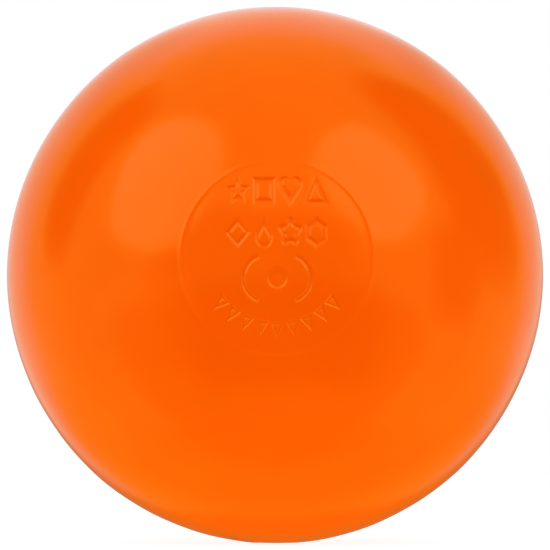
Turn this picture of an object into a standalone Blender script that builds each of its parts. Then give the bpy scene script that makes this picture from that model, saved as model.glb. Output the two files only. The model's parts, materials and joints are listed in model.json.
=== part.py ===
"""A hollow moulded play ball, 75 mm across, as four pieces.

front_half_shell   the half skin that carries the emblem
rear_half_shell    the plain half skin, with the blow hole at its pole
seam_weld_bead     the ring of fused plastic inside the seam between the two halves
blow_hole_plug     the plug that seals the hole through which the ball was blown

The origin is the ball's centre and +Z is up. The mould opens along Y, so the seam lies in the XZ
plane and the emblem faces -Y. The emblem is drawn flat, across (X) and up (Z), and pressed into
the skin along the mould's axis. A fine raised line runs round it, where its insert sits in the
mould.
"""

import math

import bmesh
import bpy
from mathutils import Vector

MM = 0.001

# Driving dimensions
BALL_RADIUS = 37.5 * MM
WALL = 0.55 * MM
GAP = 0.3 * MM  # left between pieces that are fused together on the real ball
FACE_DIVISIONS = 14  # facets along each side of the cube that the round skin is made from
SEAM_STEPS = 4 * FACE_DIVISIONS  # facets round the seam, so that the bead's match the skin's

# Weld bead, as the section of its ring
BEAD_WIDTH = 2.6 * MM
BEAD_DEPTH = 1.0 * MM
BEAD_SECTION_POINTS = 7

# Blow hole and its plug
HOLE_RADIUS = 1.6 * MM
HOLE_STEPS = 24
PLUG_STEM_RADIUS = HOLE_RADIUS - GAP
PLUG_HEAD_RADIUS = 2.9 * MM
PLUG_HEAD_DEPTH = 0.8 * MM
PLUG_EDGE = 0.25 * MM

# Emblem: a raised round frame, and sunken marks in it, which are two rows of play shapes, a
# bouncing ball and an arc of pennants
MARK_DEPTH = 0.22 * MM
FRAME_HEIGHT = 0.06 * MM
FRAME_RADIUS = 12.4 * MM
FRAME_WIDTH = 0.4 * MM
FRAME_STEPS = 72
TOOL_REACH = 0.3 * MM  # how far the frame reaches into the skin, and a mark's tool out of it
SHAPE_HALF_WIDTH = 1.6 * MM
SHAPE_HALF_HEIGHT = 2.0 * MM
SHAPE_PITCH = 3.35 * MM
SHAPE_OPENING = 0.5  # the size of a shape's inner edge, as a share of its outer edge
ROW_HEIGHTS = (8.3 * MM, 2.95 * MM)
BOUNCE_HEIGHT = -2.95 * MM
BOUNCE_BALL_RADIUS = 1.3 * MM
BOUNCE_ARC_RADIUS = 3.0 * MM
BOUNCE_ARC_OFFSET = 1.3 * MM
BOUNCE_ARC_HALF_DEGREES = 70
BOUNCE_ARC_WIDTH = 0.6 * MM
PENNANT_COUNT = 9
PENNANT_ARC_RADIUS = 9.5 * MM
PENNANT_ARC_HALF_ANGLE = math.radians(50)
PENNANT_HALF_WIDTH = 0.85 * MM
PENNANT_HALF_HEIGHT = 1.2 * MM
PENNANT_OPENING = 0.3

ORANGE = (0.92, 0.105, 0.002, 1.0)
WELD_ORANGE = (0.86, 0.09, 0.002, 1.0)


def clear_scene():
    for obj in list(bpy.data.objects):
        bpy.data.objects.remove(obj)


def plastic(name, colour, roughness):
    material = bpy.data.materials.new(name)
    material.use_nodes = True
    shader = material.node_tree.nodes["Principled BSDF"]
    shader.inputs["Base Color"].default_value = colour
    shader.inputs["Roughness"].default_value = roughness
    shader.inputs["Metallic"].default_value = 0.0
    return material


def add_object(name, bm, material=None, smooth_angle=math.radians(25)):
    """A named object at the origin from a bmesh, shaded smooth but for its sharp edges."""
    mesh = bpy.data.meshes.new(name)
    bm.to_mesh(mesh)
    bm.free()
    mesh.shade_smooth()
    mesh.set_sharp_from_angle(angle=smooth_angle)
    if material:
        mesh.materials.append(material)
    obj = bpy.data.objects.new(name, mesh)
    bpy.context.scene.collection.objects.link(obj)
    return obj


def as_tool(obj):
    """Marks an object as a shape that only cuts or joins another."""
    obj.hide_render = True
    obj.display_type = "WIRE"
    return obj


# Half shells


def round_skin(radius):
    """A ball's surface with even facets: a gridded cube whose points are pushed out to the ball."""
    bm = bmesh.new()
    bmesh.ops.create_cube(bm, size=2.0)
    bmesh.ops.subdivide_edges(bm, edges=bm.edges, cuts=FACE_DIVISIONS - 1, use_grid_fill=True)
    for vert in bm.verts:
        even = Vector(math.tan(c * math.pi / 4) for c in vert.co)
        vert.co = even.normalized() * radius
    return bm


def half_shell(name, side, material):
    """The half of the ball on one side of the seam: side is -1 for the front, +1 for the rear."""
    bm = round_skin(BALL_RADIUS)
    bmesh.ops.bisect_plane(
        bm,
        geom=bm.verts[:] + bm.edges[:] + bm.faces[:],
        plane_co=(0, side * GAP / 2, 0),
        plane_no=(0, -side, 0),
        clear_outer=True,
    )
    shell = add_object(name, bm, material)
    wall = shell.modifiers.new("Wall", "SOLIDIFY")
    wall.thickness = WALL
    wall.offset = -1.0
    wall.use_even_offset = True
    return shell


# Emblem outlines: points (across, up) round a shape that is about 2 wide and 2 high


def arc(centre, radius, first_degrees, last_degrees, steps=10):
    """Points along an arc, with both its ends."""
    angles = (
        math.radians(first_degrees + (last_degrees - first_degrees) * i / steps)
        for i in range(steps + 1)
    )
    return [Vector(centre) + radius * Vector((math.cos(a), math.sin(a))) for a in angles]


def polygon(sides):
    """A regular polygon with a point up."""
    return arc((0, 0), 1.0, 90, 450, sides)[:-1]


def star():
    return [p * (0.5 if i % 2 else 1.0) for i, p in enumerate(polygon(10))]


def flower(petals=5, points_per_petal=6):
    petal_steps = (math.tau * i / points_per_petal for i in range(petals * points_per_petal))
    reach = [0.84 + 0.16 * math.cos(step) for step in petal_steps]
    return [p * r for p, r in zip(polygon(len(reach)), reach)]


def square():
    return [Vector(corner) * 0.9 for corner in ((1, 1), (-1, 1), (-1, -1), (1, -1))]


def drop():
    """A round drop whose straight sides leave its arc as tangents and meet at its point."""
    radius, tip = 0.72, Vector((0, 1))
    centre = Vector((0, radius - 1))
    side = math.degrees(math.acos(radius / (tip - centre).length))
    return [tip] + arc(centre, radius, 90 + side, 450 - side, 16)


def heart():
    """Two lobes that meet in the middle, with straight sides down to its point."""
    radius, tip, centre = 0.53, Vector((0, -1)), Vector((0.47, 0.42))
    down = tip - centre
    side = math.degrees(math.atan2(down.y, down.x) + math.acos(radius / down.length))
    notch = math.degrees(math.acos(-centre.x / radius))
    right = arc(centre, radius, side, notch)
    left = [Vector((-p.x, p.y)) for p in right[-2::-1]]
    return [tip] + right + left


def triangle():
    return [Vector((0, 1)), Vector((-1, -0.85)), Vector((1, -0.85))]


def bent_bar(centre, radius, width, middle_degrees, half_degrees, steps=14):
    """A bar bent round a centre: its outer edge one way, then its inner edge back."""
    ends = (middle_degrees - half_degrees, middle_degrees + half_degrees)
    outer = arc(centre, radius + width / 2, *ends, steps)
    inner = arc(centre, radius - width / 2, *ends, steps)
    return outer + inner[::-1]


PLAY_SHAPES = (
    (star(), square(), heart(), triangle()),
    (polygon(4), drop(), flower(), polygon(6)),
)


def opening(outline, share):
    """The outline shrunk towards the mean of its points, as the inner edge of a band."""
    middle = sum(outline, Vector((0, 0))) / len(outline)
    return [middle + (p - middle) * share for p in outline]


def placed(outline, half_width, half_height, centre, turn=0.0):
    """The outline at its size, turned about its own middle, at its place in the emblem."""
    cos, sin = math.cos(turn), math.sin(turn)
    points = ((p.x * half_width, p.y * half_height) for p in outline)
    return [centre + Vector((x * cos - y * sin, x * sin + y * cos)) for x, y in points]


# Emblem pieces


def rim(bm, outline, radius):
    """The outline's points, pushed towards -Y from the emblem's plane onto a ball's surface."""
    return [bm.verts.new((p.x, -math.sqrt(radius**2 - p.length_squared), p.y)) for p in outline]


def bridge(bm, first, second):
    """A strip of faces between two rims with the same number of points."""
    for i in range(len(first)):
        bm.faces.new((first[i - 1], first[i], second[i], second[i - 1]))


def curved_plate(name, outline, low, high, inner=None):
    """A closed piece between two heights over the skin, with an opening if it has an inner edge."""
    bm = bmesh.new()
    heights = (BALL_RADIUS + low, BALL_RADIUS + high)
    bottom, top = (rim(bm, outline, height) for height in heights)
    bridge(bm, bottom, top)
    if inner:
        inner_bottom, inner_top = (rim(bm, inner, height) for height in heights)
        bridge(bm, inner_bottom, inner_top)
        bridge(bm, bottom, inner_bottom)
        bridge(bm, top, inner_top)
    else:
        bm.faces.new(bottom)
        bm.faces.new(top)
    bmesh.ops.recalc_face_normals(bm, faces=bm.faces)
    return as_tool(add_object(name, bm))


def mark(outline, inner=None):
    return curved_plate("emblem_mark", outline, -MARK_DEPTH, TOOL_REACH, inner)


def mark_band(outline, share, *place):
    """A mark that leaves an island of its own form in its middle."""
    return mark(placed(outline, *place), placed(opening(outline, share), *place))


def frame_piece():
    ring = polygon(FRAME_STEPS)
    outer = [p * (FRAME_RADIUS + FRAME_WIDTH / 2) for p in ring]
    inner = [p * (FRAME_RADIUS - FRAME_WIDTH / 2) for p in ring]
    return curved_plate("emblem_frame", outer, -TOOL_REACH, FRAME_HEIGHT, inner)


def play_shape_marks():
    marks = []
    for up, shapes in zip(ROW_HEIGHTS, PLAY_SHAPES):
        for column, shape in enumerate(shapes):
            centre = Vector(((column - (len(shapes) - 1) / 2) * SHAPE_PITCH, up))
            size = (SHAPE_HALF_WIDTH, SHAPE_HALF_HEIGHT)
            marks.append(mark_band(shape, SHAPE_OPENING, *size, centre))
    return marks


def bouncing_ball_marks():
    """A round spot between two arcs that open towards it."""
    middle = Vector((0, BOUNCE_HEIGHT))
    outlines = [[middle + p * BOUNCE_BALL_RADIUS for p in polygon(20)]]
    for side, facing in ((1, 0), (-1, 180)):
        centre = middle + Vector((side * BOUNCE_ARC_OFFSET, 0))
        bend = (BOUNCE_ARC_RADIUS, BOUNCE_ARC_WIDTH, facing, BOUNCE_ARC_HALF_DEGREES)
        outlines.append(bent_bar(centre, *bend))
    return [mark(outline) for outline in outlines]


def pennant_marks():
    """Small triangles round the foot of the emblem, each pointing outwards."""
    marks = []
    for i in range(PENNANT_COUNT):
        turn = PENNANT_ARC_HALF_ANGLE * (2 * i / (PENNANT_COUNT - 1) - 1)
        centre = PENNANT_ARC_RADIUS * Vector((math.sin(turn), -math.cos(turn)))
        size = (PENNANT_HALF_WIDTH, PENNANT_HALF_HEIGHT)
        marks.append(mark_band(triangle(), PENNANT_OPENING, *size, centre, turn + math.pi))
    return marks


def add_emblem(shell):
    """Joins the frame to the front shell, as one moulding, and sinks the marks into it."""
    join = shell.modifiers.new("Emblem frame", "BOOLEAN")
    join.operation = "UNION"
    join.object = frame_piece()
    join.solver = "EXACT"

    group = bpy.data.collections.new("emblem_marks")
    group.hide_render = True
    bpy.context.scene.collection.children.link(group)
    for tool in play_shape_marks() + bouncing_ball_marks() + pennant_marks():
        bpy.context.scene.collection.objects.unlink(tool)
        group.objects.link(tool)
    sink = shell.modifiers.new("Emblem marks", "BOOLEAN")
    sink.operation = "DIFFERENCE"
    sink.operand_type = "COLLECTION"
    sink.collection = group
    sink.solver = "EXACT"


# Turned pieces


def turned(name, profile, steps, material, closed):
    """A solid turned about Y from a profile of (distance from the axis, place along Y)."""
    bm = bmesh.new()
    verts = [bm.verts.new((r, y, 0)) for r, y in profile]
    ends = zip(verts, verts[1:] + verts[:1] if closed else verts[1:])
    edges = [bm.edges.new(pair) for pair in ends]
    bmesh.ops.spin(
        bm,
        geom=verts + edges,
        cent=(0, 0, 0),
        axis=(0, 1, 0),
        angle=2 * math.pi,
        steps=steps,
        use_merge=True,
    )
    bmesh.ops.remove_doubles(bm, verts=bm.verts, dist=0.001 * MM)
    bmesh.ops.recalc_face_normals(bm, faces=bm.faces)
    return add_object(name, bm, material)


def add_weld_bead(material):
    """The bead's outer side follows the skin's inside, and its inner side bulges into the ball."""
    outside = BALL_RADIUS - WALL - GAP
    profile = [(outside, BEAD_WIDTH / 2), (outside, -BEAD_WIDTH / 2)]
    for i in range(1, BEAD_SECTION_POINTS):
        a = math.pi * i / BEAD_SECTION_POINTS
        profile.append((outside - BEAD_DEPTH * math.sin(a), -BEAD_WIDTH / 2 * math.cos(a)))
    return turned("seam_weld_bead", profile, SEAM_STEPS, material, closed=True)


def add_plug(material):
    """A rivet-shaped plug: its stem is flush with the skin, and its head holds it from inside."""
    head_top = BALL_RADIUS - WALL - GAP
    head_bottom = head_top - PLUG_HEAD_DEPTH
    profile = [
        (0, head_bottom),
        (PLUG_HEAD_RADIUS - PLUG_EDGE, head_bottom),
        (PLUG_HEAD_RADIUS, head_bottom + PLUG_EDGE),
        (PLUG_HEAD_RADIUS, head_top - PLUG_EDGE),
        (PLUG_HEAD_RADIUS - PLUG_EDGE, head_top),
        (PLUG_STEM_RADIUS, head_top),
        (PLUG_STEM_RADIUS, BALL_RADIUS - PLUG_EDGE / 2),
        (PLUG_STEM_RADIUS - PLUG_EDGE / 2, BALL_RADIUS),
        (0, BALL_RADIUS),
    ]
    return turned("blow_hole_plug", profile, HOLE_STEPS, material, closed=False)


def drill_blow_hole(shell):
    """Cuts the blow hole through the rear shell's pole."""
    bm = bmesh.new()
    bmesh.ops.create_cone(
        bm,
        cap_ends=True,
        segments=HOLE_STEPS,
        radius1=HOLE_RADIUS,
        radius2=HOLE_RADIUS,
        depth=10 * WALL,
    )
    drill = as_tool(add_object("blow_hole_drill", bm))
    drill.location = (0, BALL_RADIUS, 0)
    drill.rotation_euler = (math.pi / 2, 0, 0)
    cut = shell.modifiers.new("Blow hole", "BOOLEAN")
    cut.operation = "DIFFERENCE"
    cut.object = drill
    cut.solver = "EXACT"


def main():
    clear_scene()
    front = half_shell("front_half_shell", -1, plastic("front_shell_plastic", ORANGE, 0.28))
    add_emblem(front)
    rear = half_shell("rear_half_shell", 1, plastic("rear_shell_plastic", ORANGE, 0.28))
    drill_blow_hole(rear)
    add_weld_bead(plastic("weld_plastic", WELD_ORANGE, 0.4))
    add_plug(plastic("plug_plastic", WELD_ORANGE, 0.35))


main()
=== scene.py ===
"""The looks of a hollow moulded play ball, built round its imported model.

The frame gives the ball's place and size. Each of its four nodes is replaced by a finely modelled
piece: the two half skins, the bead inside their seam, and the plug in the blow hole. The emblem is
laid out flat, across (X) and up (Z), and pressed into the skin along Y.
"""

import json
import math

import bmesh
import bpy
import numpy as np
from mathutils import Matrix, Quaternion, Vector
from mathutils.geometry import delaunay_2d_cdt


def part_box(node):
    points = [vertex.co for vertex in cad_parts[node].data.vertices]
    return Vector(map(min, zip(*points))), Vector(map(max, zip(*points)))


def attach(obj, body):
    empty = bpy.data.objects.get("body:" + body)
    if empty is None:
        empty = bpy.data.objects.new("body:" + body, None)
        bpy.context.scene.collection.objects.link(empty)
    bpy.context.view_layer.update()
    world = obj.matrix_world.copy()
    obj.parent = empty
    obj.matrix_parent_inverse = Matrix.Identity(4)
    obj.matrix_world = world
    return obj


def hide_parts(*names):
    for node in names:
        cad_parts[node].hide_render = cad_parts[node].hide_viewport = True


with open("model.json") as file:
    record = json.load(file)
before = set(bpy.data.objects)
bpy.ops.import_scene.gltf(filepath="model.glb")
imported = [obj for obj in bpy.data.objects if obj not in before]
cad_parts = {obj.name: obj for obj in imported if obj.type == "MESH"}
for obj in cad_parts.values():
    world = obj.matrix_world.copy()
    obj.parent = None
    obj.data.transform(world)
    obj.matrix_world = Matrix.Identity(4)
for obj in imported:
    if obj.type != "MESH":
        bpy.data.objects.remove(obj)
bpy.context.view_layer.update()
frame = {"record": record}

MM = 0.001


def reach_of(node):
    """How far a node reaches from the ball's centre along X, Y and Z, in millimetres."""
    return Vector(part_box(node)[1]) / MM


RESTING_POINT = Vector(frame["record"]["mounts"][0]["pos_m"])
BALL_RADIUS = RESTING_POINT.length / MM  # in millimetres, as are all sizes below

# The skin
WALL = 0.55
AROUND = 360  # points round the ball's Y axis
SKIN_STEP = math.radians(1.1)  # between rings of the outer skin
INNER_STEP = math.radians(3)  # between rings of the inner skin
WAVINESS = 0.03
SHARP_ANGLE = math.radians(50)  # edges steeper than this aren't shaded smooth
MERGE_DISTANCE = 0.0005

# The seam: the fine ridge that the mould leaves along it, and the fused bead inside it
SEAM_GAP = 0.004  # between the two rims
FLASH_HEIGHT = 0.07
FLASH_HALF_WIDTH = 0.22
FLASH_UNEVENNESS = 0.35  # of its height
FLASH_STEPS = 8
BEAD_CLEARANCE = 0.1
BEAD_DEPTH = 1.0
BEAD_CREASE_WIDTH = 0.35
BEAD_CREASE_DEPTH = 0.3  # of its depth, as are the heights of its waves
BEAD_WAVES = ((0.07, 23, 1.1), (0.05, 41, 0.4), (0.03, 97, 0.0))  # (height, number, phase)
BEAD_SECTION_POINTS = 20

# The blow hole, in a shallow dimple, and its plug
HOLE_CREASE = 0.005  # between the plug and the hole's wall
HOLE_EDGE = 0.08
HOLE_SURROUND = 6.0
HOLE_SURROUND_RINGS = 23
DIMPLE_RADIUS = 3.4
DIMPLE_DEPTH = 0.14
PLUG_AROUND = 96
PLUG_STEM_RADIUS = 1.3
PLUG_EDGE = 0.2
PLUG_EDGE_STEPS = 4
PLUG_HEAD_DEPTH = 0.8
PLUG_CLEARANCE = 0.2  # lets the skin curve down past the flat of the head
PLUG_TOP = (  # (share of the stem's radius, height over its rim), from its edge to its middle
    (1.0, -0.12),
    (0.985, -0.05),
    (0.94, -0.01),
    (0.88, 0.0),
    (0.7, -0.03),
    (0.5, -0.06),
    (0.36, -0.07),
    (0.3, -0.04),
    (0.26, 0.03),
    (0.21, 0.09),
    (0.12, 0.12),
    (0.0, 0.13),
)

# The emblem
MARK_DEPTH = 0.22
MARK_EDGE = 0.1  # how far outside a mark's outline its sloping side starts
MARK_FLANK = 0.42  # the width of that side
FRAME_HEIGHT = 0.05
FRAME_RADIUS = 12.4
FRAME_HALF_WIDTH = 0.45
FLATTENING = 0.1  # how low the emblem's face lies in its middle, being flatter than the ball
SHAPE_HALF_WIDTH = 1.6
SHAPE_HALF_HEIGHT = 2.0
SHAPE_PITCH = 3.35
SHAPE_OPENING = 0.5
ROW_HEIGHTS = (8.3, 2.95)
BOUNCE_HEIGHT = -2.95
BOUNCE_BALL_RADIUS = 1.3
BOUNCE_ARC_RADIUS = 3.0
BOUNCE_ARC_OFFSET = 1.3
BOUNCE_ARC_HALF_DEGREES = 70
BOUNCE_ARC_WIDTH = 0.6
PENNANT_COUNT = 9
PENNANT_ARC_RADIUS = 9.5
PENNANT_ARC_HALF_ANGLE = math.radians(50)
PENNANT_HALF_WIDTH = 0.85
PENNANT_HALF_HEIGHT = 1.2
PENNANT_OPENING = 0.3

# The emblem's mesh
FINE_STEP = 0.08  # over the marks' sloping sides
FIELD_STEP = 0.4  # between them
FRAME_RINGS = 11
DISC_RADIUS = 13.6  # where the emblem's mesh meets the rings of the skin


# Emblem outlines: arrays of (across, up) points round a shape about 2 wide and 2 high

STAR_INNER_RADIUS = 0.5
FLOWER_PETALS = 5
PETAL_POINTS = 18
PETAL_BULGE = 0.16


def arc(centre, radius, first_degrees, last_degrees, steps=24):
    angles = np.radians(np.linspace(first_degrees, last_degrees, steps + 1))
    return np.array(centre) + radius * np.stack([np.cos(angles), np.sin(angles)], axis=1)


def polygon(sides):
    """A regular polygon with a point up."""
    return arc((0, 0), 1.0, 90, 450, sides)[:-1]


def star():
    return polygon(10) * np.tile([1.0, STAR_INNER_RADIUS], 5)[:, None]


def flower():
    turns = math.tau * np.arange(FLOWER_PETALS * PETAL_POINTS) / PETAL_POINTS
    reach = 1 - PETAL_BULGE + PETAL_BULGE * np.cos(turns)
    return polygon(len(turns)) * reach[:, None]


def square():
    side = 0.9
    return np.array([(side, side), (-side, side), (-side, -side), (side, -side)])


def drop():
    """A round drop whose straight sides leave its arc as tangents and meet at its point."""
    radius = 0.72
    side = math.degrees(math.acos(radius / (2 - radius)))
    return np.vstack([[(0, 1)], arc((0, radius - 1), radius, 90 + side, 450 - side, 40)])


def heart():
    """Two lobes that meet in the middle, with straight sides down to its point."""
    radius, tip, centre = 0.53, np.array((0, -1)), np.array((0.47, 0.42))
    down = tip - centre
    side = math.degrees(math.atan2(down[1], down[0]) + math.acos(radius / np.hypot(*down)))
    notch = math.degrees(math.acos(-centre[0] / radius))
    right = arc(centre, radius, side, notch)
    left = right[-2::-1] * (-1, 1)
    return np.vstack([[tip], right, left])


def triangle():
    return np.array([(0, 1), (-1, -0.85), (1, -0.85)])


def bent_bar(centre, radius, width, middle_degrees, half_degrees):
    """A bar bent round a centre: its outer edge one way, then its inner edge back."""
    ends = (middle_degrees - half_degrees, middle_degrees + half_degrees)
    outer = arc(centre, radius + width / 2, *ends)
    inner = arc(centre, radius - width / 2, *ends)
    return np.vstack([outer, inner[::-1]])


def placed(outline, half_width, half_height, centre, turn=0.0):
    """The outline at its size, turned about its own middle, at its place in the emblem."""
    cos, sin = math.cos(turn), math.sin(turn)
    return outline * (half_width, half_height) @ np.array([(cos, sin), (-sin, cos)]) + centre


def band(outline, share, *place):
    """The two loops of a shape with an opening of its own form."""
    middle = outline.mean(axis=0)
    opening = middle + (outline - middle) * share
    return [placed(outline, *place), placed(opening, *place)]


def play_shapes():
    rows = ((star(), square(), heart(), triangle()), (polygon(4), drop(), flower(), polygon(6)))
    size = (SHAPE_HALF_WIDTH, SHAPE_HALF_HEIGHT)
    for up, row in zip(ROW_HEIGHTS, rows):
        for column, outline in enumerate(row):
            across = (column - (len(row) - 1) / 2) * SHAPE_PITCH
            yield band(outline, SHAPE_OPENING, *size, (across, up))


def bouncing_ball():
    """A round spot between two arcs that open towards it."""
    yield [arc((0, BOUNCE_HEIGHT), BOUNCE_BALL_RADIUS, 0, 360, 60)[:-1]]
    for side, facing in ((1, 0), (-1, 180)):
        centre = (side * BOUNCE_ARC_OFFSET, BOUNCE_HEIGHT)
        bend = (BOUNCE_ARC_RADIUS, BOUNCE_ARC_WIDTH, facing, BOUNCE_ARC_HALF_DEGREES)
        yield [bent_bar(centre, *bend)]


def pennants():
    """Small triangles round the foot of the emblem, each pointing outwards."""
    size = (PENNANT_HALF_WIDTH, PENNANT_HALF_HEIGHT)
    for turn in np.linspace(-PENNANT_ARC_HALF_ANGLE, PENNANT_ARC_HALF_ANGLE, PENNANT_COUNT):
        centre = (PENNANT_ARC_RADIUS * math.sin(turn), -PENNANT_ARC_RADIUS * math.cos(turn))
        yield band(triangle(), PENNANT_OPENING, *size, centre, turn + math.pi)


# Relief: how far the emblem strays from the ball, from the distance to the nearest outline

FAR_AWAY = 9.0  # stands for the distance of all points that are clear of every shape


def distance_to(loops, points):
    """Each point's distance to a shape's outline, negative inside the shape."""
    starts = np.vstack(loops)
    ends = np.vstack([np.roll(loop, -1, axis=0) for loop in loops])
    along = ends - starts
    offset = points[:, None] - starts
    share = np.clip((offset * along).sum(2) / (along**2).sum(1), 0, 1)
    nearest = np.hypot(*np.moveaxis(offset - share[..., None] * along, 2, 0)).min(1)
    spans = (starts[:, 1] > points[:, None, 1]) != (ends[:, 1] > points[:, None, 1])
    with np.errstate(divide="ignore", invalid="ignore"):
        crossing = starts[:, 0] + (points[:, None, 1] - starts[:, 1]) * along[:, 0] / along[:, 1]
    inside = (spans & (points[:, None, 0] < crossing)).sum(1) % 2 == 1
    return np.where(inside, -nearest, nearest)


def distance_to_nearest(shapes, points):
    """Each point's distance to the nearest of the shapes."""
    nearest = np.full(len(points), FAR_AWAY)
    for loops in shapes:
        low = np.min([loop.min(0) for loop in loops], axis=0) - 2 * FIELD_STEP
        high = np.max([loop.max(0) for loop in loops], axis=0) + 2 * FIELD_STEP
        near = np.flatnonzero(((points > low) & (points < high)).all(1))
        if len(near):
            nearest[near] = np.minimum(nearest[near], distance_to(loops, points[near]))
    return nearest


def smooth(share):
    """A smooth step from 0 to 1."""
    share = np.clip(share, 0, 1)
    return share * share * (3 - 2 * share)


def relief(shapes, points):
    """How far the skin lies outside the ball: the frame's line, less the marks and the face."""
    share = np.clip((MARK_EDGE - distance_to_nearest(shapes, points)) / MARK_FLANK, 0, 1)
    marks = MARK_DEPTH * (share + smooth(share)) / 2
    reach = np.hypot(*points.T) / FRAME_RADIUS
    face = FLATTENING * np.clip(1 - reach**2, 0, 1)
    from_frame = np.abs(reach - 1) * FRAME_RADIUS
    line = FRAME_HEIGHT * smooth(1 - from_frame / FRAME_HALF_WIDTH)
    return line - marks - face


# The emblem's mesh


def triangular_grid(step):
    """Evenly spaced points over the emblem's disc, clear of its rim and of the frame."""
    count = int(2 * DISC_RADIUS / step) + 2
    rows, columns = np.mgrid[-count:count, -count:count]
    grid = step * np.stack([(columns + rows % 2 / 2).ravel(), (rows * math.sqrt(3) / 2).ravel()], 1)
    reach = np.hypot(*grid.T)
    inside = reach < DISC_RADIUS - step / 2
    clear = np.abs(reach - FRAME_RADIUS) > FRAME_HALF_WIDTH + step / 3
    return grid[inside & clear]


def field_points(shapes):
    """A fine grid over the marks' sloping sides, and a coarse one elsewhere."""
    found = []
    for step, fine in ((FINE_STEP, True), (FIELD_STEP, False)):
        grid = triangular_grid(step)
        from_side = np.abs(distance_to_nearest(shapes, grid) - MARK_EDGE + MARK_FLANK / 2)
        near = from_side < MARK_FLANK / 2 + FINE_STEP
        near_by_a_step = from_side < MARK_FLANK / 2 + FINE_STEP + step / 3
        found.append(grid[near if fine else ~near_by_a_step])
    return np.vstack(found)


def frame_points():
    """Rings of points across the frame."""
    offsets = np.linspace(-FRAME_HALF_WIDTH, FRAME_HALF_WIDTH, FRAME_RINGS)
    rings = [arc((0, 0), FRAME_RADIUS + offset, 0, 360, 2 * AROUND)[:-1] for offset in offsets]
    return np.vstack(rings)


def emblem_disc():
    """The emblem's points on the plane, its triangles, and the relief's height at each point."""
    shapes = [*play_shapes(), *bouncing_ball(), *pennants()]
    rim = arc((0, 0), DISC_RADIUS, 0, 360, AROUND)[:-1]
    points = np.vstack([rim, frame_points(), field_points(shapes)])
    flat = [Vector(p) for p in points.tolist()]
    verts, _, faces, *_ = delaunay_2d_cdt(flat, [], [], 0, 1e-6)
    points = np.array([tuple(v) for v in verts])
    return points, faces, relief(shapes, points)


# Solids: closed meshes of rings round the ball's Y axis


def unevenness(points):
    """How far the moulded surface strays outwards at each point, in millimetres."""
    x, y, z = points.T
    return WAVINESS * (
        np.sin(0.21 * x + 1.3) * np.cos(0.17 * z - 0.4)
        + np.sin(0.16 * y + 0.19 * z + 2.1)
        + 0.6 * np.sin(0.33 * x - 0.29 * z + 0.7) * np.cos(0.31 * y)
    )


def even_turns(count):
    """Angles that part a full turn evenly."""
    return np.arange(count) * math.tau / count


class Solid:
    """A growing mesh of closed rings round the ball's Y axis."""

    def __init__(self, around=AROUND):
        self.bm = bmesh.new()
        self.turns = even_turns(around)

    def points(self, x, y, z):
        points = np.stack(np.broadcast_arrays(x, y, z), axis=1)
        strayed = points * (1 + unevenness(points) / BALL_RADIUS)[:, None]
        return [self.bm.verts.new(point) for point in strayed * MM]

    def ring(self, reach, depth):
        """A ring of points at a distance from the axis, and at a place along it."""
        return self.points(reach * np.cos(self.turns), depth, reach * np.sin(self.turns))

    def strip(self, first, second):
        for i in range(len(first)):
            self.bm.faces.new((first[i - 1], first[i], second[i], second[i - 1]))

    def rings(self, section):
        """Rings along a section of (reach, depth) points. Returns the first ring and the last."""
        made = [self.ring(reach, depth) for reach, depth in section]
        for first, second in zip(made, made[1:]):
            self.strip(first, second)
        return made[0], made[-1]

    def cap(self, ring, depth):
        """Closes a ring towards a point on the axis."""
        (tip,) = self.points([0.0], [depth], [0.0])
        for i in range(len(ring)):
            self.bm.faces.new((ring[i - 1], ring[i], tip))

    def finish(self, name, material):
        bmesh.ops.remove_doubles(self.bm, verts=self.bm.verts, dist=MERGE_DISTANCE * MM)
        bmesh.ops.recalc_face_normals(self.bm, faces=self.bm.faces)
        mesh = bpy.data.meshes.new(name)
        self.bm.to_mesh(mesh)
        self.bm.free()
        mesh.shade_smooth()
        mesh.set_sharp_from_angle(angle=SHARP_ANGLE)
        mesh.materials.append(material)
        piece = bpy.data.objects.new(name, mesh)
        bpy.context.scene.collection.objects.link(piece)
        return piece


def on_ball(polar, radius, side):
    """The (reach, depth) of a point at an angle from the ball's pole on one side."""
    return radius * math.sin(polar), side * radius * math.cos(polar)


def dimple_depth(polar):
    """How low the skin lies round the blow hole."""
    return DIMPLE_DEPTH * smooth(1 - polar * BALL_RADIUS / DIMPLE_RADIUS)


def outer_section(first, side):
    """The outer skin from an angle to the seam, where it rises into an uneven flash."""
    turns = even_turns(AROUND)
    waves = np.sin(7 * turns + 0.5) * np.sin(23 * turns + 1.2)
    top = FLASH_HEIGHT * (1 + FLASH_UNEVENNESS * waves)
    seam = math.pi / 2 - SEAM_GAP / 2 / BALL_RADIUS
    ridge = seam - FLASH_HALF_WIDTH / BALL_RADIUS
    plain = np.linspace(first, ridge, round((ridge - first) / SKIN_STEP))
    section = [on_ball(polar, BALL_RADIUS - dimple_depth(polar), side) for polar in plain]
    for share in np.linspace(0, 1, FLASH_STEPS + 1)[1:]:
        polar = ridge + share * (seam - ridge)
        section.append(on_ball(polar, BALL_RADIUS + top * smooth(share), side))
    return section


def inner_section(last, side):
    """The inner skin from the seam to an angle."""
    seam = math.pi / 2 - SEAM_GAP / 2 / BALL_RADIUS
    polars = np.linspace(seam, last, round((seam - last) / INNER_STEP))
    return [on_ball(polar, BALL_RADIUS - WALL, side) for polar in polars]


def front_skin(material):
    skin = Solid()
    points, faces, heights = emblem_disc()
    x, z = points.T
    verts = skin.points(x, -np.sqrt((BALL_RADIUS + heights) ** 2 - x**2 - z**2), z)
    for face in faces:
        skin.bm.faces.new([verts[i] for i in face])
    edge = math.asin(DISC_RADIUS / BALL_RADIUS)
    section = outer_section(edge, -1) + inner_section(INNER_STEP, -1)
    _, last = skin.rings(section)
    skin.cap(last, WALL - BALL_RADIUS)
    return skin.finish("front_skin", material)


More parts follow.
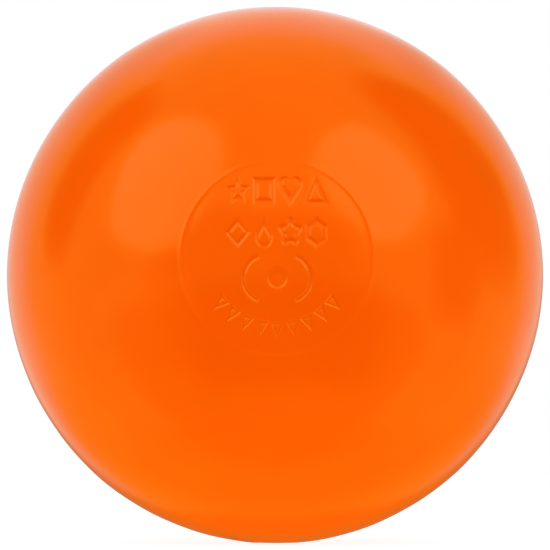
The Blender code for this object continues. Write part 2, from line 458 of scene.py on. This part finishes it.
def hole_section():
    """The blow hole's wall from inside to outside, its rounded edge, and the dimple round it."""
    inside = PLUG_STEM_RADIUS + HOLE_CREASE
    polar = inside / BALL_RADIUS
    top = BALL_RADIUS - dimple_depth(polar)
    section = [(inside, BALL_RADIUS - WALL), (inside, top - HOLE_EDGE)]
    for turn in (math.pi / 6, math.pi / 3):
        reach = inside + HOLE_EDGE * (1 - math.cos(turn))
        section.append((reach, top - HOLE_EDGE * (1 - math.sin(turn))))
    for reach in np.linspace(inside + HOLE_EDGE, HOLE_SURROUND, HOLE_SURROUND_RINGS + 1)[:-1]:
        polar = reach / BALL_RADIUS
        section.append(on_ball(polar, BALL_RADIUS - dimple_depth(polar), 1))
    return section


def rear_skin(material):
    skin = Solid()
    inner_edge = math.asin((PLUG_STEM_RADIUS + HOLE_CREASE) / (BALL_RADIUS - WALL))
    outer = outer_section(HOLE_SURROUND / BALL_RADIUS, 1)
    section = hole_section() + outer + inner_section(inner_edge, 1)[:-1]
    first, last = skin.rings(section)
    skin.strip(last, first)
    return skin.finish("rear_skin", material)


def weld_bead(material):
    """Two melted lips that meet in a crease, uneven along the seam."""
    bead = Solid()
    outside = BALL_RADIUS - WALL - BEAD_CLEARANCE
    half_width = reach_of("seam_weld_bead").y
    uneven = sum(high * np.sin(number * bead.turns + phase) for high, number, phase in BEAD_WAVES)
    section = [(outside, half_width), (outside, -half_width)]
    for i in range(1, BEAD_SECTION_POINTS):
        angle = math.pi * i / BEAD_SECTION_POINTS
        depth = -half_width * math.cos(angle)
        lips = 1 - BEAD_CREASE_DEPTH * math.exp(-((depth / BEAD_CREASE_WIDTH) ** 2))
        swell = math.sin(angle) * lips * (1 + uneven)
        section.append((outside - BEAD_DEPTH * swell, depth))
    first, last = bead.rings(section)
    bead.strip(last, first)
    return bead.finish("weld_bead", material)


def plug(material):
    """A melted rivet: a flat head inside the ball, and a stem with a small pip on its end."""
    solid = Solid(PLUG_AROUND)
    head_radius = reach_of("blow_hole_plug").x
    head_top = BALL_RADIUS - WALL - PLUG_CLEARANCE
    head_bottom = head_top - PLUG_HEAD_DEPTH
    edge_turns = np.linspace(0, math.pi / 2, PLUG_EDGE_STEPS + 1)
    section = []
    for depth, side in ((head_bottom, 1), (head_top, -1)):
        for turn in edge_turns[::side]:
            reach = head_radius - PLUG_EDGE * (1 - math.sin(turn))
            section.append((reach, depth + side * PLUG_EDGE * (1 - math.cos(turn))))
    section.append((PLUG_STEM_RADIUS, head_top))
    rim = BALL_RADIUS - dimple_depth(PLUG_STEM_RADIUS / BALL_RADIUS)
    section += [(PLUG_STEM_RADIUS * share, rim + height) for share, height in PLUG_TOP[:-1]]
    first, last = solid.rings(section)
    solid.cap(first, head_bottom)
    solid.cap(last, rim + PLUG_TOP[-1][1])
    return solid.finish("plug", material)


# Nodes and materials

ORANGE = (0.9, 0.085, 0.0002)
WELD_ORANGE = (0.84, 0.078, 0.0002)
NOISE_RANGE = (0.3, 0.7)  # the values that the noise mostly takes
CLOUD_SIZE = 14  # of lighter and darker plastic
SHADE_SPREAD = 0.03
STREAK_SIZE = 5  # of duller and glossier skin
ROUGHNESS_SPREAD = 0.02
PEEL_SIZE = 1.3


class Nodes:
    """Adds nodes to a tree, with their inputs set or linked."""

    def __init__(self, tree):
        self.tree = tree

    def add(self, kind, inputs=(), **settings):
        node = self.tree.nodes.new(kind)
        for name, setting in settings.items():
            setattr(node, name, setting)
        self.connect(node, inputs)
        return node

    def connect(self, node, inputs):
        """Sets or links inputs, from a mapping by name or a list in order."""
        for key, value in inputs.items() if isinstance(inputs, dict) else enumerate(inputs):
            if isinstance(value, bpy.types.NodeSocket):
                self.tree.links.new(value, node.inputs[key])
            else:
                node.inputs[key].default_value = value

    def math(self, operation, *inputs):
        return self.add("ShaderNodeMath", inputs, operation=operation).outputs[0]

    def mix(self, first, second, share):
        return self.math("MULTIPLY_ADD", share, self.math("SUBTRACT", second, first), first)

    def map(self, value, from_low, from_high, to_low, to_high, interpolation="LINEAR"):
        inputs = (value, from_low, from_high, to_low, to_high)
        return self.add("ShaderNodeMapRange", inputs, interpolation_type=interpolation).outputs[0]

    def noise(self, place, grain, detail=2.0):
        """Noise with features of about a size, in millimetres."""
        inputs = {"Vector": place, "Scale": 1 / (grain * MM), "Detail": detail}
        return self.add("ShaderNodeTexNoise", inputs).outputs["Fac"]


def plastic(name, colour, roughness, peel_height):
    """Moulded polythene, a little uneven in its colour and gloss, with a fine orange-peel skin."""
    material = bpy.data.materials.new(name)
    material.use_nodes = True
    nodes = Nodes(material.node_tree)
    shader = material.node_tree.nodes["Principled BSDF"]
    place = nodes.add("ShaderNodeTexCoord").outputs["Object"]
    clouds = nodes.noise(place, CLOUD_SIZE)
    shade = nodes.map(clouds, *NOISE_RANGE, 1 - SHADE_SPREAD, 1 + SHADE_SPREAD)
    tone = {"Color": (*colour, 1), "Value": shade}
    streaks = nodes.noise(place, STREAK_SIZE, detail=4.0)
    gloss_range = (roughness - ROUGHNESS_SPREAD, roughness + ROUGHNESS_SPREAD)
    peel = nodes.noise(place, PEEL_SIZE)
    bump = {"Height": peel, "Distance": peel_height * MM, "Strength": 1.0}
    nodes.connect(
        shader,
        {
            "Base Color": nodes.add("ShaderNodeHueSaturation", tone).outputs["Color"],
            "Roughness": nodes.map(streaks, *NOISE_RANGE, *gloss_range),
            "Normal": nodes.add("ShaderNodeBump", bump).outputs["Normal"],
        },
    )
    return material


# Studio, in metres and degrees

BALL_SHARE = 0.974  # of the picture's width
CAMERA_DISTANCE = 0.4
CAMERA_AZIMUTH = -0.43
CAMERA_ELEVATION = -3.9
FLOOR_HALF_SIZE = 4.0
FLOOR_GREY = 0.2
FLOOR_GLOW = 0.9  # as seen
FLOOR_FILL = 1.3  # as it lights the ball from below
FILL_REACH = 0.12
SOFTBOX_DISTANCE = 0.6
SOFTBOX_RADIANCE = 2.05
SOFTBOX_GLARE = 2.15  # how bright a softbox is in the gloss
SOFTBOX_EDGE = 0.08
ROOM_LIGHT = 0.56  # the plain light from all round, beside the softboxes
ROOM_GLARE = 1.05
BLUE_FROM_BELOW = 0.5  # the share of blue in what is mirrored from the floor
BLUE_FADE = (-60, -15)  # the elevations between which that share rises to 1
BLUE_GRADE = ((0.02, 0.001), (0.09, 0.016), (0.13, 0.06), (0.25, 0.17), (0.6, 0.58))


def direction(azimuth, elevation):
    """The way from the ball at angles in degrees: to the right of the front (-Y), and up."""
    azimuth, elevation = math.radians(azimuth), math.radians(elevation)
    return Vector((
        math.sin(azimuth) * math.cos(elevation),
        -math.cos(azimuth) * math.cos(elevation),
        math.sin(elevation),
    ))


def place_facing_ball(name, data, azimuth, elevation, distance):
    obj = bpy.data.objects.new(name, data)
    obj.location = distance * direction(azimuth, elevation)
    obj.rotation_euler = (-obj.location).to_track_quat("-Z", "Y").to_euler()
    bpy.context.scene.collection.objects.link(obj)
    return obj


def add_camera():
    data = bpy.data.cameras.new("camera")
    apparent = math.tan(math.asin(BALL_RADIUS * MM / CAMERA_DISTANCE))
    data.lens = data.sensor_width * BALL_SHARE / (2 * apparent)
    data.clip_start = 0.01
    place = (CAMERA_AZIMUTH, CAMERA_ELEVATION, CAMERA_DISTANCE)
    bpy.context.scene.camera = place_facing_ball("camera", data, *place)


def add_softbox_light(name, azimuth, elevation, half_width, half_height):
    """A soft rectangle of light, sized by the angles that it fills as the ball sees it."""
    data = bpy.data.lights.new(name, "AREA")
    data.shape = "RECTANGLE"
    data.size = 2 * SOFTBOX_DISTANCE * math.tan(math.radians(half_width))
    data.size_y = 2 * SOFTBOX_DISTANCE * math.tan(math.radians(half_height))
    data.energy = SOFTBOX_RADIANCE * math.pi * data.size * data.size_y
    light = place_facing_ball(name, data, azimuth, elevation, SOFTBOX_DISTANCE)
    light.visible_camera = False
    light.visible_glossy = False


def add_floor():
    """A pale floor, lit from within as well, so that it stays white and fills the ball's foot."""
    mesh = bpy.data.meshes.new("floor")
    corners = [(x * FLOOR_HALF_SIZE, y * FLOOR_HALF_SIZE, RESTING_POINT.z)
               for x, y in ((-1, -1), (1, -1), (1, 1), (-1, 1))]
    mesh.from_pydata(corners, [], [(0, 1, 2, 3)])
    material = bpy.data.materials.new("floor")
    material.use_nodes = True
    nodes = Nodes(material.node_tree)
    place = nodes.add("ShaderNodeTexCoord").outputs["Object"]
    reach = nodes.add("ShaderNodeVectorMath", [place], operation="LENGTH").outputs["Value"]
    fill = nodes.map(reach, 0.0, FILL_REACH, FLOOR_FILL, FLOOR_GLOW, "SMOOTHSTEP")
    seen = nodes.add("ShaderNodeLightPath").outputs["Is Camera Ray"]
    looks = {
        "Base Color": (FLOOR_GREY, FLOOR_GREY, FLOOR_GREY, 1),
        "Roughness": 0.9,
        "Specular IOR Level": 0.0,
        "Emission Color": (1, 1, 1, 1),
        "Emission Strength": nodes.mix(fill, FLOOR_GLOW, seen),
    }
    nodes.connect(material.node_tree.nodes["Principled BSDF"], looks)
    mesh.materials.append(material)
    floor = bpy.data.objects.new("floor", mesh)
    bpy.context.scene.collection.objects.link(floor)
    floor.visible_glossy = False


class Reflections(Nodes):
    """What the ball's gloss mirrors: a brightness for each direction. Angles are in degrees."""

    PATCH_POWER = 4.0  # how square the corners are: 2 makes an ellipse
    SOFTBOX_POWER = 2.5

    def __init__(self, tree, brightness):
        super().__init__(tree)
        self.way = self.add("ShaderNodeTexCoord").outputs["Generated"]
        x, y, z = self.add("ShaderNodeSeparateXYZ", [self.way]).outputs
        front_y = self.math("MULTIPLY", y, -1.0)
        behind_x = self.math("MULTIPLY", x, -1.0)
        self.azimuth = self.math("ARCTAN2", x, front_y)
        self.azimuth_from_behind = self.math("ARCTAN2", behind_x, y)
        self.elevation = self.math("ARCSINE", z)
        self.brightness = brightness

    def patch(self, middle, half_size, brightness, softness, behind=False, taper=0.0):
        """Gives a rounded block of directions a brightness. It narrows upwards by its taper."""
        here = self.azimuth_from_behind if behind else self.azimuth
        shares = []
        for angle, centre, half in zip((here, self.elevation), middle, half_size):
            away = self.math("SUBTRACT", angle, math.radians(centre))
            shares.append(self.math("DIVIDE", away, math.radians(half)))
        across, up = shares
        narrowing = self.math("MULTIPLY_ADD", up, -taper, 1.0)
        mask = self.mask(self.math("DIVIDE", across, narrowing), up, self.PATCH_POWER, softness)
        self.brightness = self.mix(self.brightness, brightness, mask)

    def softbox(self, middle, half_size, lean=0.0):
        """A flat rounded rectangle that faces the ball, sized by the angles that it fills.

        Its top leans by an angle, to the left as the camera sees it mirrored.
        """
        ahead = direction(*middle)
        level = direction(middle[0] + 90, 0)
        right = Quaternion(ahead, math.radians(lean)) @ level
        depth = self.math("MAXIMUM", self.along(ahead), 0.01)
        across, up = (
            self.math("DIVIDE", self.along(axis / math.tan(math.radians(half))), depth)
            for axis, half in zip((right, ahead.cross(right)), half_size)
        )
        mask = self.mask(across, up, self.SOFTBOX_POWER, SOFTBOX_EDGE)
        self.brightness = self.mix(self.brightness, SOFTBOX_GLARE, mask)

    def along(self, axis):
        inputs = (self.way, tuple(axis))
        return self.add("ShaderNodeVectorMath", inputs, operation="DOT_PRODUCT").outputs["Value"]

    def mask(self, across, up, power, softness):
        """1 within about 1 of the middle, both across and up, and 0 outside."""
        away = [self.math("ABSOLUTE", share) for share in (across, up)]
        reach = self.math("ADD", *(self.math("POWER", share, power) for share in away))
        outside, inside = ((1 + side * softness) ** power for side in (1, -1))
        return self.map(reach, outside, inside, 0.0, 1.0, "SMOOTHSTEP")


def add_world():
    """Plain white light, in which the gloss mirrors a studio with two softboxes.

    The room is dark in front, where the camera stands, and beyond the softboxes' outer sides. The
    floor mirrored from below is warmer than the rest, because the ball colours it.
    """
    world = bpy.data.worlds.new("studio")
    world.use_nodes = True
    studio = Reflections(world.node_tree, ROOM_GLARE)
    # The wall behind the ball, dimmer towards the floor and in its corners
    studio.patch((0, 25), (85, 75), 1.0, 0.3, behind=True)
    studio.patch((0, -20), (78, 22), 0.84, 0.4, behind=True)
    studio.patch((-36, 14), (20, 24), 0.74, 0.5, behind=True)
    studio.patch((36, 14), (20, 24), 0.78, 0.5, behind=True)
    # The dark gaps beyond the softboxes' outer sides
    studio.patch((-107, 30), (12, 22), 0.23, 0.4, taper=-0.3)
    studio.patch((104, 33), (20, 30), 0.24, 0.3)
    studio.patch((82, 0), (11, 12), 0.4, 0.5)
    # The floor, and its brighter and darker parts behind the ball
    studio.patch((0, -90), (400, 30), 0.44, 0.3)
    studio.patch((0, -66), (70, 20), 0.66, 0.5, behind=True)
    studio.patch((-4, -42), (44, 24), 0.52, 0.5, behind=True)
    studio.patch((-2, -23), (15, 22), 0.2, 0.5, behind=True)
    # The dim room round the camera, and the dark below it
    studio.patch((-7, 6), (42, 17), 0.45, 0.2, taper=0.2)
    studio.patch((-4, -38), (74, 30), 0.43, 0.12)
    studio.patch((0, -28), (44, 20), 0.02, 0.3)
    studio.softbox((-55, 33), (22, 26))
    studio.softbox((46.5, 34), (20, 23.5), lean=35)

    rays = studio.add("ShaderNodeLightPath").outputs
    gloss = rays["Is Glossy Ray"]
    plain = studio.mix(ROOM_LIGHT, 1.0, rays["Is Camera Ray"])
    fade = [math.radians(elevation) for elevation in BLUE_FADE]
    blue = studio.mix(1.0, studio.map(studio.elevation, *fade, BLUE_FROM_BELOW, 1.0), gloss)
    colour = studio.add("ShaderNodeCombineColor", (1.0, 1.0, blue)).outputs["Color"]
    strength = studio.mix(plain, studio.brightness, gloss)
    background = world.node_tree.nodes["Background"]
    studio.connect(background, {"Color": colour, "Strength": strength})
    bpy.context.scene.world = world


def add_ball():
    pieces = (  # (maker, node, slot, colour, roughness, height of the orange peel)
        (front_skin, "front_half_shell", "front_shell_plastic", ORANGE, 0.16, 0.004),
        (rear_skin, "rear_half_shell", "rear_shell_plastic", ORANGE, 0.16, 0.004),
        (weld_bead, "seam_weld_bead", "weld_plastic", WELD_ORANGE, 0.36, 0.02),
        (plug, "blow_hole_plug", "plug_plastic", WELD_ORANGE, 0.28, 0.01),
    )
    for make, node, slot, colour, roughness, peel_height in pieces:
        piece = make(plastic(slot, colour, roughness, peel_height))
        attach(piece, "root")
        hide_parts(node)


def grade():
    """Standard colours, but for weak blues, which are darkened to keep the orange strong."""
    view = bpy.context.scene.view_settings
    view.view_transform = "Standard"
    view.use_curve_mapping = True
    _red, _green, blue, _combined = view.curve_mapping.curves
    for before, after in BLUE_GRADE:
        blue.points.new(before, after)
    view.curve_mapping.update()


def main():
    add_ball()
    add_camera()
    add_floor()
    add_world()
    add_softbox_light("left_softbox", -62, 34, 17, 25)
    add_softbox_light("right_softbox", 53, 34, 17, 25)
    grade()


main()
